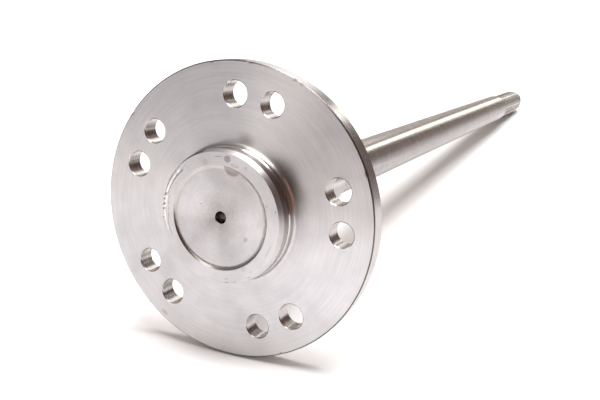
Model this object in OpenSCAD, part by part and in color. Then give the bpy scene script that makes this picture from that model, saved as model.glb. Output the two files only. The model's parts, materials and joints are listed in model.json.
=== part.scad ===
// Flanged axle shaft, forged and turned as one piece of steel.
// It is drawn on its own axis: the flange's mounting face is at zero, the wheel side
// points up and the splined end points down. It is then laid down as it rests on a
// bench, on the heel of the flange and the tip of the spline, with its length along Y.

/* [Flange] */
// Outside diameter of the wheel flange
flange_d = 153.8; // [148:0.2:170]
// Thickness of the wheel flange
flange_t = 10; // [7:0.5:16]
// Chamfer on both edges of the rim
flange_edge = 0.6; // [0.2:0.1:1.5]

/* [Stud holes] */
// Diameter of the circle on which all stud holes lie
stud_pcd = 120.65; // [112:0.05:128]
// Holes in each of the two sets
stud_count = 5; // [4:1:6]
// Diameter of the holes of the wide set
wide_stud_d = 13.2; // [11:0.1:15]
// Diameter of the holes of the slim set
slim_stud_d = 12.6; // [10:0.1:14]
// Angle from a wide hole to the slim hole beside it
pair_angle = 20.1; // [18:0.1:30]
// Angle of the first wide hole, counted up from level as the shaft lies
stud_clock = 89.5; // [0:0.5:180]
// Deburring chamfer at both mouths of a stud hole
stud_edge = 0.4; // [0.1:0.1:1]

/* [Pilot] */
// Diameter of the land next to the flange that centres the brake drum
drum_land_d = 69.9; // [66:0.1:76]
// Length of that land from the flange face
drum_land_len = 4.2; // [3.5:0.1:6]
// Diameter of the slimmer land in front of it that centres the wheel
wheel_land_d = 68.8; // [64:0.1:76]
// Length of the cone that leads from one land to the other
land_step_len = 0.6; // [0.2:0.1:1.5]
// Height of the pilot's end face above the flange face
pilot_h = 13.1; // [12:0.1:22]
// Length of the lead-in cone at the pilot's end face
pilot_lead_len = 3.4; // [0.5:0.1:4]
// Angle of that cone, from the axis
pilot_lead_cone = 18.5; // [10:0.5:30]
// Fillet between the pilot and the flange face
pilot_fillet = 1.5; // [0.5:0.1:3]

/* [Recess in the pilot] */
// Diameter of the recess at the pilot's end face
recess_d = 53.5; // [40:0.1:56]
// Depth of the recess at the foot of its wall
recess_depth = 0.8; // [0.4:0.1:2]
// Radius of the tool nose that leaves the recess's wall
recess_nose_r = 3.8; // [2.5:0.1:6]
// Further fall of the recess's floor from its edge to the middle
recess_dish = 0.8; // [0.2:0.1:2]
// Diameter of the blind hole in the middle
centre_d = 6.3; // [3:0.1:10]
// Depth of that hole below the pilot's end face, without its point
centre_depth = 16; // [8:0.5:30]

/* [Bearing journal] */
// Diameter of the ground journal behind the flange
journal_d = 35.5; // [33:0.1:42]
// Length of the journal from the back of the flange
journal_len = 100; // [60:1:130]
// Fillet between the journal and the back of the flange
hub_fillet = 8; // [2:0.5:14]
// Angle of the cone from the journal down to the bar, from the axis
journal_cone = 15; // [10:1:45]

/* [Bar] */
// Length from the flange's mounting face to the splined end
shaft_len = 755; // [600:1:900]
// Diameter of the bar between journal and spline
bar_d = 29.8; // [28.6:0.1:32]

/* [Spline] */
// Teeth of the spline
spline_teeth = 26; // [25:1:27]
// Module of the teeth: pitch diameter for each tooth
spline_module = 1; // [0.96:0.01:1.06]
// Pressure angle of the involute flanks
pressure_angle = 30; // [25:2.5:37.5]
// Length from the foot of the shoulder to the clip groove
spline_len = 105; // [60:1:160]
// Angle of the shoulder between bar and spline, from the axis
shoulder_cone = 30; // [20:5:60]
// Chamfer at the tip of the spline
spline_edge = 1; // [0.4:0.1:1.2]
// Diameter of the cutter that leaves the run-out of each groove
hob_d = 76; // [50:1:100]
// Length of full-depth groove that stops short of the shoulder's foot
runout_gap = 9; // [4:0.5:16]

/* [Clip end] */
// Width of the groove for the retaining clip
clip_w = 5.4; // [3:0.1:7]
// Diameter at the bottom of that groove
clip_d = 19.5; // [16:0.1:21]
// Diameter of the button outside the groove
button_d = 24.4; // [22:0.1:24.8]
// Length of the button
button_len = 6.8; // [5:0.1:10]
// Chamfer round the end of the button
button_edge = 1.2; // [0.3:0.1:1.6]
// Mouth diameter of the lathe centre in the button
lathe_centre_d = 9; // [5:0.5:12]
// Diameter of the drilling at the bottom of that centre
lathe_drill_d = 4; // [2:0.5:4.5]
// Depth of that drilling below the cone
lathe_drill_depth = 5; // [3:0.5:8]

/* [Hidden] */
$fn = 128;
// How far a cutter runs past the face that it opens
cut = 1;
// Included angles of a twist drill's point and of a lathe centre
drill_point = 118;
centre_cone = 60;
// Steps along one involute flank
flank_steps = 4;
// Height of a tooth above the pitch circle and depth of its flat root below it, in modules
tip_rise = 0.5;
root_fall = 0.675;
steel = [0.72, 0.70, 0.69];

flange_r = flange_d / 2;
drum_land_r = drum_land_d / 2;
wheel_land_r = wheel_land_d / 2;
pilot_face_r = wheel_land_r - pilot_lead_len * tan(pilot_lead_cone);
recess_r = recess_d / 2;
recess_floor_r = recess_r - sqrt(recess_depth * (2 * recess_nose_r - recess_depth));
centre_r = centre_d / 2;
journal_r = journal_d / 2;
bar_r = bar_d / 2;

// Spline, as an involute side fit with flat roots
pitch_r = spline_teeth * spline_module / 2;
base_r = pitch_r * cos(pressure_angle);
major_r = pitch_r + tip_rise * spline_module;
minor_r = pitch_r - root_fall * spline_module;
hob_r = hob_d / 2;
hob_centre_r = minor_r + hob_r;
groove_top_r = bar_r + cut;
hob_sweep = acos(1 - (groove_top_r - minor_r) / hob_r);

clip_r = clip_d / 2;
button_r = button_d / 2;
button_face_r = button_r - button_edge;
lathe_centre_r = lathe_centre_d / 2;
lathe_drill_r = lathe_drill_d / 2;
lathe_cone_depth = (lathe_centre_r - lathe_drill_r) / tan(centre_cone / 2);

// Stations along the axis, below the flange's mounting face
heel_z = -(flange_t - flange_edge);
journal_end_z = -(flange_t + journal_len);
bar_start_z = journal_end_z - (journal_r - bar_r) / tan(journal_cone);
end_z = -shaft_len;
button_z = end_z + button_len;
spline_tip_z = button_z + clip_w;
spline_heel_z = spline_tip_z + spline_edge;
spline_foot_z = spline_tip_z + spline_len;
bar_end_z = spline_foot_z + (bar_r - major_r) / tan(shoulder_cone);
full_depth_z = spline_foot_z - runout_gap;

// The lying pose: a groove of the spline points straight down, so the tip rests on the two
// teeth beside it, and the line from there to the flange's heel is level. The origin is
// at the middle of the footprint, on the bench
rest_r = major_r * cos(half_space(major_r));
lean = atan((flange_r - rest_r) / (heel_z - spline_heel_z));
lift = flange_r * cos(lean) - heel_z * sin(lean);
front_y = -pilot_face_r * sin(lean) - pilot_h * cos(lean);
back_y = max(button_face_r * sin(lean) - end_z * cos(lean),
             button_r * sin(lean) - (end_z + button_edge) * cos(lean));
middle_y = (front_y + back_y) / 2;

// The involute of an angle, in degrees
function involute(angle) = tan(angle) * 180 / PI - angle;

// Half the angle that the space between two teeth spans at a radius
function half_space(r) =
    90 / spline_teeth - involute(pressure_angle) + involute(acos(base_r / r));

// A point on the flank of the space between two teeth, 0 at the root and 1 at the tip
function flank_point(t) =
    let (r = minor_r + t * (major_r - minor_r))
    [r * cos(half_space(r)), r * sin(half_space(r))];

// One side of that space from root to tip, and straight on to the top of the cutter
function flank_points() = concat(
    [for (i = [0 : flank_steps]) flank_point(i / flank_steps)],
    [[groove_top_r, flank_point(1)[1]]]);

// Half of the turned section from the pilot's face to the button. The two fillets
// are square corners here, and the rounds that leave them are cut out later
module turned_outline() {
    polygon([
        [0, pilot_h],
        [pilot_face_r, pilot_h],
        [wheel_land_r, pilot_h - pilot_lead_len],
        [wheel_land_r, drum_land_len + land_step_len],
        [drum_land_r, drum_land_len],
        [drum_land_r, pilot_fillet],
        [drum_land_r + pilot_fillet, pilot_fillet],
        [drum_land_r + pilot_fillet, 0],
        [flange_r - flange_edge, 0],
        [flange_r, -flange_edge],
        [flange_r, heel_z],
        [flange_r - flange_edge, -flange_t],
        [journal_r + hub_fillet, -flange_t],
        [journal_r + hub_fillet, -flange_t - hub_fillet],
        [journal_r, -flange_t - hub_fillet],
        [journal_r, journal_end_z],
        [bar_r, bar_start_z],
        [bar_r, bar_end_z],
        [major_r, spline_foot_z],
        [major_r, spline_heel_z],
        [major_r - spline_edge, spline_tip_z],
        [clip_r, spline_tip_z],
        [clip_r, button_z],
        [button_r, button_z],
        [button_r, end_z + button_edge],
        [button_face_r, end_z],
        [0, end_z]
    ]);
}

// Half section of the shallow recess: a dished floor with a wall left by the tool's nose
module recess_outline() {
    floor_z = pilot_h - recess_depth;
    polygon([
        [0, pilot_h + cut],
        [recess_floor_r, pilot_h + cut],
        [recess_floor_r, floor_z],
        [centre_r, floor_z - recess_dish],
        [0, floor_z - recess_dish]
    ]);
    intersection() {
        translate([recess_floor_r, floor_z + recess_nose_r]) circle(recess_nose_r);
        translate([recess_floor_r - cut, floor_z - cut]) square([recess_nose_r + cut, recess_depth + cut]);
    }
}

// Half section of the drilled hole in the middle of the recess
module centre_outline() {
    bottom_z = pilot_h - centre_depth;
    polygon([
        [0, pilot_h + cut],
        [centre_r, pilot_h + cut],
        [centre_r, bottom_z],
        [0, bottom_z - centre_r / tan(drill_point / 2)]
    ]);
}

// Half section of the lathe centre in the button
module lathe_centre_outline() {
    drill_z = end_z + lathe_cone_depth;
    bottom_z = drill_z + lathe_drill_depth;
    polygon([
        [0, end_z - cut],
        [lathe_centre_r + cut * tan(centre_cone / 2), end_z - cut],
        [lathe_drill_r, drill_z],
        [lathe_drill_r, bottom_z],
        [0, bottom_z + lathe_drill_r / tan(drill_point / 2)]
    ]);
}

// The turned blank, before drilling and hobbing
module turned_blank() {
    rotate_extrude() difference() {
        turned_outline();
        translate([drum_land_r + pilot_fillet, pilot_fillet]) circle(pilot_fillet);
        translate([journal_r + hub_fillet, -flange_t - hub_fillet]) circle(hub_fillet);
        recess_outline();
        centre_outline();
        lathe_centre_outline();
    }
}

// One stud hole through the flange, with both mouths deburred
module stud_hole(d) {
    r = d / 2;
    translate([0, 0, -flange_t - cut]) cylinder(r = r, h = flange_t + 2 * cut);
    translate([0, 0, -stud_edge]) cylinder(r1 = r, r2 = r + stud_edge + cut, h = stud_edge + cut);
    translate([0, 0, -flange_t - cut])
        cylinder(r1 = r + stud_edge + cut, r2 = r, h = stud_edge + cut);
}

// A ring of equal stud holes, from the angle of its first hole
module stud_ring(d, first_angle) {
    for (i = [0 : stud_count - 1])
        rotate(first_angle - i * 360 / stud_count) translate([stud_pcd / 2, 0, 0]) stud_hole(d);
}

// One groove of the spline: full depth from the tip, then the arc where the cutter lifts out
module spline_groove() {
    side = flank_points();
    section = concat(side, [for (i = [len(side) - 1 : -1 : 0]) [side[i][0], -side[i][1]]]);
    translate([0, 0, spline_tip_z - cut])
        linear_extrude(full_depth_z - spline_tip_z + cut) polygon(section);
    translate([hob_centre_r, 0, full_depth_z]) rotate([90, 0, 180])
        rotate_extrude(angle = hob_sweep)
            polygon([for (p = section) [hob_centre_r - p[0], p[1]]]);
}

// Lays the shaft from its own axis down onto the bench
module lie_down() {
    translate([0, -middle_y, lift]) rotate([90 - lean, 0, 0]) children();
}

module axle_shaft() {
    color(steel) lie_down() difference() {
        turned_blank();
        stud_ring(wide_stud_d, stud_clock);
        stud_ring(slim_stud_d, stud_clock - pair_angle);
        for (i = [0 : spline_teeth - 1]) rotate(i * 360 / spline_teeth - 90) spline_groove();
    }
}

axle_shaft();
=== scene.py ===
"""Looks of a flanged axle shaft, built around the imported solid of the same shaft.

The shaft is drawn on its own axis, in millimetres: zero is the flange's mounting face, the pilot
points up and the splined end points down. The finished mesh is then laid where the solid lies.
"""

import json
import logging
import math
from dataclasses import dataclass
from enum import IntEnum
from typing import Any

import bmesh
import bpy
import numpy as np
from mathutils import Matrix, Vector


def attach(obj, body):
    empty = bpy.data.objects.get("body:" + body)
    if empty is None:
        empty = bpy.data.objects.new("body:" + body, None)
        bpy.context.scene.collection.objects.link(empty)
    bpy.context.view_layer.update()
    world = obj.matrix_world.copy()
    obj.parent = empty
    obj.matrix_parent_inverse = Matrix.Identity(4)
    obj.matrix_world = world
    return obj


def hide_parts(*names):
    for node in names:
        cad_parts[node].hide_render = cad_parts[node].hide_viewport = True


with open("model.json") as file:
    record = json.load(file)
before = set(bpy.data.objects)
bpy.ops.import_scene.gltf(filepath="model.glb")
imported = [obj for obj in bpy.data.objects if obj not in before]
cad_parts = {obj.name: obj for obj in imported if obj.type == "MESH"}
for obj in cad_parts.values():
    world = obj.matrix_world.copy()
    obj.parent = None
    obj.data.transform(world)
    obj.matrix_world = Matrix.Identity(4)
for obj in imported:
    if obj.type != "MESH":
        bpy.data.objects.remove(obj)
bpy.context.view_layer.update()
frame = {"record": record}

LOG = logging.getLogger("axle_shaft")
MM = 0.001
WELD = 1e-6
SHARP_ANGLE = math.radians(28)
DARKENING = "soil"
FINISH = "finish"
MOUNTS = {mount["name"]: mount for mount in frame["record"]["mounts"]}

Colour = tuple[float, float, float]
Face = tuple[int, ...]
Socket = bpy.types.NodeSocket


class Zone(IntEnum):
    """The finishes on the shaft, in the order of its material slots."""

    FACED = 0
    RIM = 1
    LAND = 2
    PILOT_FACE = 3
    RECESS = 4
    GROUND = 5
    BAR = 6
    SPLINE = 7
    DRILLED = 8
    LEAD = 9
    RECESS_WALL = 10
    CHAMFER = 11


class Graph:
    """A node tree under construction, for shapes or for finishes."""

    def __init__(self, tree: bpy.types.NodeTree) -> None:
        """Keeps the tree that the nodes go into."""
        self.tree = tree

    def node(self, kind: str, inputs: dict[str, Any] | None = None, **options: Any) -> bpy.types.Node:
        """Adds a node.

        Args:
            kind: Blender's name for the node type.
            inputs: Sockets or constants by the name of the input that they feed.
            options: Settings of the node itself.

        Returns:
            The new node.
        """
        made = self.tree.nodes.new(kind)
        for name, value in options.items():
            setattr(made, name, value)
        for name, value in (inputs or {}).items():
            entry = next(socket for socket in made.inputs if socket.name == name and socket.enabled)
            self.feed(entry, value)
        return made

    def feed(self, entry: Socket, value: Any) -> None:
        """Feeds an input.

        Args:
            entry: The input.
            value: A socket to link, or a constant to set.
        """
        if isinstance(value, Socket):
            self.tree.links.new(value, entry)
        else:
            entry.default_value = value

    def combine(self, kind: str, operation: str, values: tuple[Any, ...]) -> bpy.types.Node:
        """Adds a node that works out one operation.

        Args:
            kind: Blender's name for the node type.
            operation: The operation's name.
            values: Sockets or constants, in the order of the node's inputs.

        Returns:
            The new node.
        """
        made = self.node(kind, operation=operation)
        for entry, value in zip(made.inputs, values):
            self.feed(entry, value)
        return made

    def math(self, operation: str, *values: Any) -> Socket:
        """Combines one to three numbers."""
        return self.combine("ShaderNodeMath", operation, values).outputs[0]

    def whole(self, operation: str, *values: Any) -> Socket:
        """Combines whole numbers."""
        return self.combine("FunctionNodeIntegerMath", operation, values).outputs[0]

    def vector(self, operation: str, *values: Any) -> Socket:
        """Combines vectors into another, or measures the length of one."""
        made = self.combine("ShaderNodeVectorMath", operation, values)
        return made.outputs["Value" if operation == "LENGTH" else "Vector"]

    def step(self, value: Any, low: float, high: float, start: float = 0.0, end: float = 1.0) -> Socket:
        """Makes a smooth step.

        Args:
            value: The socket that the step reads.
            low: Where the step starts.
            high: Where it ends.
            start: What it gives at the start and before.
            end: What it gives at the end and after.

        Returns:
            The result's socket.
        """
        limits = {"Value": value, "From Min": low, "From Max": high, "To Min": start, "To Max": end}
        made = self.node("ShaderNodeMapRange", limits, interpolation_type="SMOOTHSTEP")
        return made.outputs["Result"]

    def mix(self, share: Any, first: Any, second: Any) -> Socket:
        """Mixes two colours, with the given share of the second."""
        made = self.node("ShaderNodeMix", {"Factor": share, "A": first, "B": second}, data_type="RGBA")
        return next(socket for socket in made.outputs if socket.enabled)


class ShapeTree(Graph):
    """A geometry tree with named inputs that is run on a mesh and then let go."""

    def __init__(self, name: str, sizes: dict[str, str]) -> None:
        """Makes an empty tree.

        Args:
            name: The tree's name.
            sizes: The socket type of each named input.
        """
        super().__init__(bpy.data.node_groups.new(name, "GeometryNodeTree"))
        sockets = self.tree.interface
        sockets.new_socket(name="Geometry", in_out="INPUT", socket_type="NodeSocketGeometry")
        sockets.new_socket(name="Geometry", in_out="OUTPUT", socket_type="NodeSocketGeometry")
        for size, kind in sizes.items():
            sockets.new_socket(name=size, in_out="INPUT", socket_type=kind)
        self.given = self.node("NodeGroupInput").outputs
        self.result = self.node("NodeGroupOutput").inputs["Geometry"]

    def finish(self, geometry: Socket) -> None:
        """Links the tree's last geometry to its output."""
        self.feed(self.result, geometry)

    def run(self, name: str, mesh: bpy.types.Mesh, sizes: dict[str, Any]) -> bpy.types.Mesh:
        """Runs the tree on a mesh.

        Args:
            name: The name of the mesh that comes out.
            mesh: The mesh that goes in.
            sizes: A value for each named input.

        Returns:
            A plain mesh.
        """
        worker = bpy.data.objects.new(name, mesh)
        bpy.context.scene.collection.objects.link(worker)
        modifier = worker.modifiers.new(name, "NODES")
        modifier.node_group = self.tree
        for item in self.tree.interface.items_tree:
            if item.in_out == "INPUT" and item.name in sizes:
                modifier[item.identifier] = sizes[item.name]
        worker.update_tag()
        graph = bpy.context.evaluated_depsgraph_get()
        made = bpy.data.meshes.new_from_object(worker.evaluated_get(graph), depsgraph=graph)
        made.name = name
        worker.modifiers.remove(modifier)
        bpy.data.objects.remove(worker)
        return made

    def angle_of(self, step: Any, count: Any) -> Socket:
        """Returns the angle after some of the equal steps of a full turn."""
        return self.math("DIVIDE", self.math("MULTIPLY", step, math.tau), count)

    def round_axis(self, radius: Any, angle: Any, height: Any = 0.0) -> Socket:
        """Gives a place round the axis.

        Args:
            radius: Its distance from the axis.
            angle: Its angle round the axis.
            height: Its height.

        Returns:
            The socket of that vector.
        """
        place = {
            "X": self.math("MULTIPLY", radius, self.math("COSINE", angle)),
            "Y": self.math("MULTIPLY", radius, self.math("SINE", angle)),
            "Z": height,
        }
        return self.node("ShaderNodeCombineXYZ", place).outputs[0]

    def copies(self, points: Any, instance: Any, turn: Any = (0.0, 0.0, 0.0)) -> Socket:
        """Puts a copy on every point and makes the copies real.

        Args:
            points: Where the copies go.
            instance: What is copied.
            turn: How each copy is turned.

        Returns:
            The socket of the copies' mesh.
        """
        inputs = {"Points": points, "Instance": instance, "Rotation": turn}
        ring = self.node("GeometryNodeInstanceOnPoints", inputs)
        real = self.node("GeometryNodeRealizeInstances", {"Geometry": ring.outputs["Instances"]})
        return real.outputs["Geometry"]

    def welded(self, geometry: Any) -> Socket:
        """Merges the points that meet."""
        made = self.node("GeometryNodeMergeByDistance", {"Geometry": geometry, "Distance": WELD})
        return made.outputs["Geometry"]

    def carried(self) -> Socket:
        """Reads the finish that the mesh carries."""
        made = self.node("GeometryNodeInputNamedAttribute", {"Name": FINISH}, data_type="INT")
        return made.outputs["Attribute"]


@dataclass(frozen=True)
class Lie:
    """How the shaft lies: the middle of its flange face, and the lean of its axis."""

    centre: Vector
    axis: Vector

    @property
    def pitch(self) -> float:
        """The turn about X that lays the drawn axis down."""
        return math.acos(self.axis.z)

    def matrix(self) -> Matrix:
        """Returns the move from the drawn shaft to where it lies."""
        return Matrix.Translation(self.centre) @ Matrix.Rotation(self.pitch, 4, "X")


SHAFT = Lie(Vector(MOUNTS["wide_studs"]["pos_m"]), Vector(MOUNTS["wide_studs"]["axis"]).normalized())


@dataclass(frozen=True)
class StainOrPaintedLight:
    """A stain, painted shade or painted highlight on a turned face, as a blurred oval, in degrees and
    millimetres.

    Its place is given round the shaft's axis, counted up from level on the right. Its half widths
    run out from the axis and round it.
    """

    angle: float
    radius: float
    across: float
    along: float
    strength: float
    hollow: float = 0.0
    blur: float = 0.12
    colour: Colour = (0.16, 0.115, 0.095)
    matte: float = 0.0


@dataclass(frozen=True)
class Finish:
    """One machined finish of the same steel, with marks that run round the axis.

    Lengths are in millimetres. The marks are fine rings, the clouds are soft changes of tone. In a
    bored hole the marks are rings round the hole instead.
    """

    name: str
    colour: Colour
    roughness: float
    anisotropy: float
    mark_pitch: float
    mark_tone: float
    mark_depth: float
    cloud: float = 0.05
    run: float = 5.0
    bored: bool = False
    edge_ring: float = 0.0
    stains_and_painted_light: tuple[StainOrPaintedLight, ...] = ()

    def tint(self, change: float) -> tuple[float, ...]:
        """Returns the steel's colour, lighter or darker by a share of itself."""
        return tuple(min(1.0, part * (1.0 + change)) for part in self.colour) + (1.0,)


class FinishTree(Graph):
    """The nodes of one finish, laid round the shaft's axis.

    Places on the shaft are in millimetres, counted from the flange's face.
    """

    # The tone that the darkening mixes in: painted shade along the scrape's inner step, and darkened
    # nicks.
    DARK_TONE = (0.045, 0.034, 0.028, 1.0)
    ROUGHER_BY_CLOUDS = 0.12
    ROUGHER_BY_MARKS = 0.10
    QUARTER_TURN = 0.25
    BORED_RUN = 0.1
    MARK_NOISE = {"Scale": 1.0, "Detail": 3.0, "Roughness": 0.62}
    CLOUD_NOISE = {"Scale": 0.07, "Detail": 4.0, "Roughness": 0.6}
    EDGE_NOISE = {"Scale": 0.8, "Detail": 3.0}
    MARK_CONTRAST = 2.0
    MARK_LIMITS = (0.25, 0.75)
    CLOUD_CONTRAST = 4.0
    CLOUD_LIMITS = (0.35, 0.8)
    CLOUD_SHARE = 0.5
    RING_BLUR = 0.4
    RING_SHARE = 0.16
    RAGGED = 0.5
    HOLLOW_BLUR = 0.1
    HOLLOW_SHARE = 0.25

    def __init__(self, finish: Finish, place: Lie) -> None:
        """Makes the finish's material.

        Args:
            finish: The finish.
            place: Where the shaft lies.
        """
        self.material = bpy.data.materials.new(finish.name)
        self.material.use_nodes = True
        super().__init__(self.material.node_tree)
        self.tree.nodes.clear()
        self.finish = finish
        body = self.node("ShaderNodeTexCoord").outputs["Object"]
        arm = self.vector("SUBTRACT", body, place.centre)
        self.heading = self.vector("NORMALIZE", self.vector("CROSS_PRODUCT", place.axis, arm))
        self.spot = self.seen_from(body, place.centre, (place.pitch, 0.0, 0.0), (MM, MM, MM))
        parts = self.node("ShaderNodeSeparateXYZ", {"Vector": self.spot}).outputs
        self.flat = self.node("ShaderNodeCombineXYZ", {"X": parts["X"], "Y": parts["Y"]}).outputs[0]
        self.radius = self.vector("LENGTH", self.flat)
        self.along = parts["Z"]
        self.shade()

    def seen_from(self, spot: Any, middle: Any, turn: Any, size: Any) -> Socket:
        """Returns a place as seen from a frame with that middle, turn and size."""
        inputs = {"Vector": spot, "Location": middle, "Rotation": turn, "Scale": size}
        return self.node("ShaderNodeMapping", inputs, vector_type="TEXTURE").outputs[0]

    def shade(self) -> None:
        """Builds the shader from the marks, clouds, stains, painted shade and highlights, and the
        darkening.
        """
        marks = self.marks()
        clouds = self.node("ShaderNodeTexNoise", {"Vector": self.spot, **self.CLOUD_NOISE}).outputs[0]
        colour, metal = self.with_stains_and_painted_light(self.tone(marks, clouds))
        # Darkening carried by the mesh: painted shade along the scrape's inner step, and the nicks.
        soil = self.node("ShaderNodeAttribute", attribute_name=DARKENING).outputs["Fac"]
        smooth = self.finish.roughness - self.ROUGHER_BY_CLOUDS / 2
        rough = self.math("MULTIPLY_ADD", clouds, self.ROUGHER_BY_CLOUDS, smooth)
        rough = self.math("SUBTRACT", rough, self.ROUGHER_BY_MARKS / 2)
        rough = self.math("MULTIPLY_ADD", marks, self.ROUGHER_BY_MARKS, rough)
        relief = {"Strength": 1.0, "Distance": self.finish.mark_depth * MM, "Height": marks}
        shader = self.node("ShaderNodeBsdfPrincipled", {
            "Base Color": self.mix(soil, colour, self.DARK_TONE), "Metallic": metal, "Roughness": rough,
            "Normal": self.node("ShaderNodeBump", relief).outputs[0],
            "Anisotropic": self.finish.anisotropy, "Anisotropic Rotation": self.QUARTER_TURN,
            "Tangent": self.heading,
        })
        self.node("ShaderNodeOutputMaterial", {"Surface": shader.outputs[0]})

    def marks(self) -> Socket:
        """Makes the tool's rings, long round the axis and narrow across.

        Returns:
            The socket of a number about one half.
        """
        if self.finish.bored:
            spot = self.vector("MULTIPLY", self.flat, (self.BORED_RUN, self.BORED_RUN, 0.0))
        else:
            run = (self.finish.run, self.finish.run, 0.0)
            round_axis = self.vector("MULTIPLY", self.vector("NORMALIZE", self.flat), run)
            rings = self.math("DIVIDE", self.radius, self.finish.mark_pitch)
            lift = self.node("ShaderNodeCombineXYZ", {"Z": rings})
            spot = self.vector("ADD", round_axis, lift.outputs[0])
        turns = self.math("DIVIDE", self.along, self.finish.mark_pitch)
        noise = self.node(
            "ShaderNodeTexNoise", {"Vector": spot, "W": turns, **self.MARK_NOISE}, noise_dimensions="4D")
        return noise.outputs[0]

    def tone(self, marks: Any, clouds: Any) -> Socket:
        """Tints the steel by its marks and clouds.

        Args:
            marks: The tool's rings.
            clouds: The soft changes of tone.

        Returns:
            The colour's socket.
        """
        contrast = self.MARK_CONTRAST * self.finish.mark_tone
        light = self.finish.tint(contrast)
        colour = self.mix(self.step(marks, *self.MARK_LIMITS), self.finish.tint(-contrast), light)
        cloudy = self.math("MULTIPLY", self.step(clouds, *self.CLOUD_LIMITS), self.CLOUD_SHARE)
        colour = self.mix(cloudy, colour, self.finish.tint(-self.CLOUD_CONTRAST * self.finish.cloud))
        if self.finish.edge_ring:
            inner = self.finish.edge_ring - self.RING_BLUR
            outer = self.finish.edge_ring + self.RING_BLUR
            colour = self.mix(self.step(self.radius, inner, outer, self.RING_SHARE, 0.0), colour, light)
        return colour

    def with_stains_and_painted_light(self, colour: Any) -> tuple[Any, Any]:
        """Lays the finish's stains, painted shade and painted highlights over its colour.

        Args:
            colour: The clean steel.

        Returns:
            The colour's socket, and how metallic the surface is, as a number or its socket.
        """
        metal = 1.0
        if not self.finish.stains_and_painted_light:
            return colour, metal
        noise = self.node("ShaderNodeTexNoise", {"Vector": self.spot, **self.EDGE_NOISE}).outputs[0]
        wander = self.math("MULTIPLY_ADD", noise, self.RAGGED, -self.RAGGED / 2)
        for blot in self.finish.stains_and_painted_light:
            share = self.oval(blot, wander)
            colour = self.mix(share, colour, blot.colour + (1.0,))
            if blot.matte:
                metal = self.math("MULTIPLY", metal, self.math("MULTIPLY_ADD", share, -blot.matte, 1.0))
        return colour, metal

    def oval(self, blot: StainOrPaintedLight, wander: Any) -> Socket:
        """Shapes one stain, painted shade or painted highlight.

        Args:
            blot: The stain, painted shade or painted highlight.
            wander: What makes its edge ragged.

        Returns:
            The socket of the share of the steel that it hides.
        """
        angle = math.radians(blot.angle)
        middle = (blot.radius * math.cos(angle), blot.radius * math.sin(angle), 0.0)
        size = (blot.across, blot.along, 1.0)
        from_middle = self.vector("LENGTH", self.seen_from(self.flat, middle, (0.0, 0.0, angle), size))
        reach = self.math("ADD", from_middle, wander)
        share = self.step(reach, 1.0 - blot.blur, 1.0, blot.strength, 0.0)
        if not blot.hollow:
            return share
        rim = (blot.hollow - self.HOLLOW_BLUR, blot.hollow + self.HOLLOW_BLUR)
        return self.math("MULTIPLY", share, self.step(reach, *rim, self.HOLLOW_SHARE, 1.0))


def grid_faces(rows: int, columns: int) -> list[Face]:
    """Returns the faces of a grid whose points are counted row by row."""
    firsts = [row * columns + column for row in range(rows - 1) for column in range(columns - 1)]
    return [(first, first + columns, first + columns + 1, first + 1) for first in firsts]


@dataclass(frozen=True)
class Corner:
    """A corner of the turned section, in millimetres, and the finish of the stretch that follows it."""

    r: float
    z: float
    zone: Zone
    round: float = 0.0


Point = tuple[float, float, Zone]


class Section:
    """Half of a turned section, from the axis at one end to the axis at the other."""

    ARC_STEP = math.radians(24)
    LEAST_STEPS = 3
    FILLET_FROM = 1.0
    FILLET_STEPS = 12
    SUPPORT = 0.06

    def __init__(self, corners: list[Corner]) -> None:
        """Keeps the corners, with their edges still sharp."""
        self.corners = corners

    def points(self) -> list[Point]:
        """Rounds the corners.

        Returns:
            Radius, height and finish of every point of the rounded section.
        """
        made = []
        for index, corner in enumerate(self.corners):
            if not corner.round:
                made.append((corner.r, corner.z, corner.zone))
                continue
            made.extend(self.rounded(self.corners[index - 1], corner, self.corners[index + 1]))
        return made

    def rounded(self, before: Corner, corner: Corner, after: Corner) -> list[Point]:
        """Replaces one corner by an arc, with a support point on each side of it.

        Args:
            before: The corner before it.
            corner: The corner.
            after: The corner after it.

        Returns:
            The points that take its place.
        """
        tip = np.array((corner.r, corner.z))
        back = np.array((before.r, before.z)) - tip
        ahead = np.array((after.r, after.z)) - tip
        room = 0.5 * min(np.hypot(*back), np.hypot(*ahead))
        back /= np.hypot(*back)
        ahead /= np.hypot(*ahead)
        turn = math.pi - math.acos(max(-1.0, min(1.0, float(back @ ahead))))
        cut = corner.round * math.tan(turn / 2)
        middle = tip + (back + ahead) / np.hypot(*(back + ahead)) * math.hypot(cut, corner.round)
        first = tip + back * cut - middle
        last = tip + ahead * cut - middle
        steps = max(self.LEAST_STEPS, math.ceil(turn / self.ARC_STEP))
        if corner.round >= self.FILLET_FROM:
            steps = self.FILLET_STEPS
        made = []
        if cut + self.SUPPORT < room:
            made.append((*(tip + back * (cut + self.SUPPORT)), before.zone))
        for i in range(steps + 1):
            share = i / steps
            arm = (first * math.sin((1 - share) * turn) + last * math.sin(share * turn)) / math.sin(turn)
            made.append((*(middle + arm), corner.zone))
        if cut + self.SUPPORT < room:
            made.append((*(tip + ahead * (cut + self.SUPPORT)), corner.zone))
        return made

    def mesh(self, name: str) -> bpy.types.Mesh:
        """Makes the section a line of points that carry their finish.

        Args:
            name: The mesh's name.

        Returns:
            A mesh of points only, in metres.
        """
        points = self.points()
        made = bpy.data.meshes.new(name)
        made.from_pydata([(r * MM, 0.0, z * MM) for r, z, _ in points], [], [])
        zones = made.attributes.new(FINISH, "INT", "POINT")
        zones.data.foreach_set("value", [int(zone) for _, _, zone in points])
        return made


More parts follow.
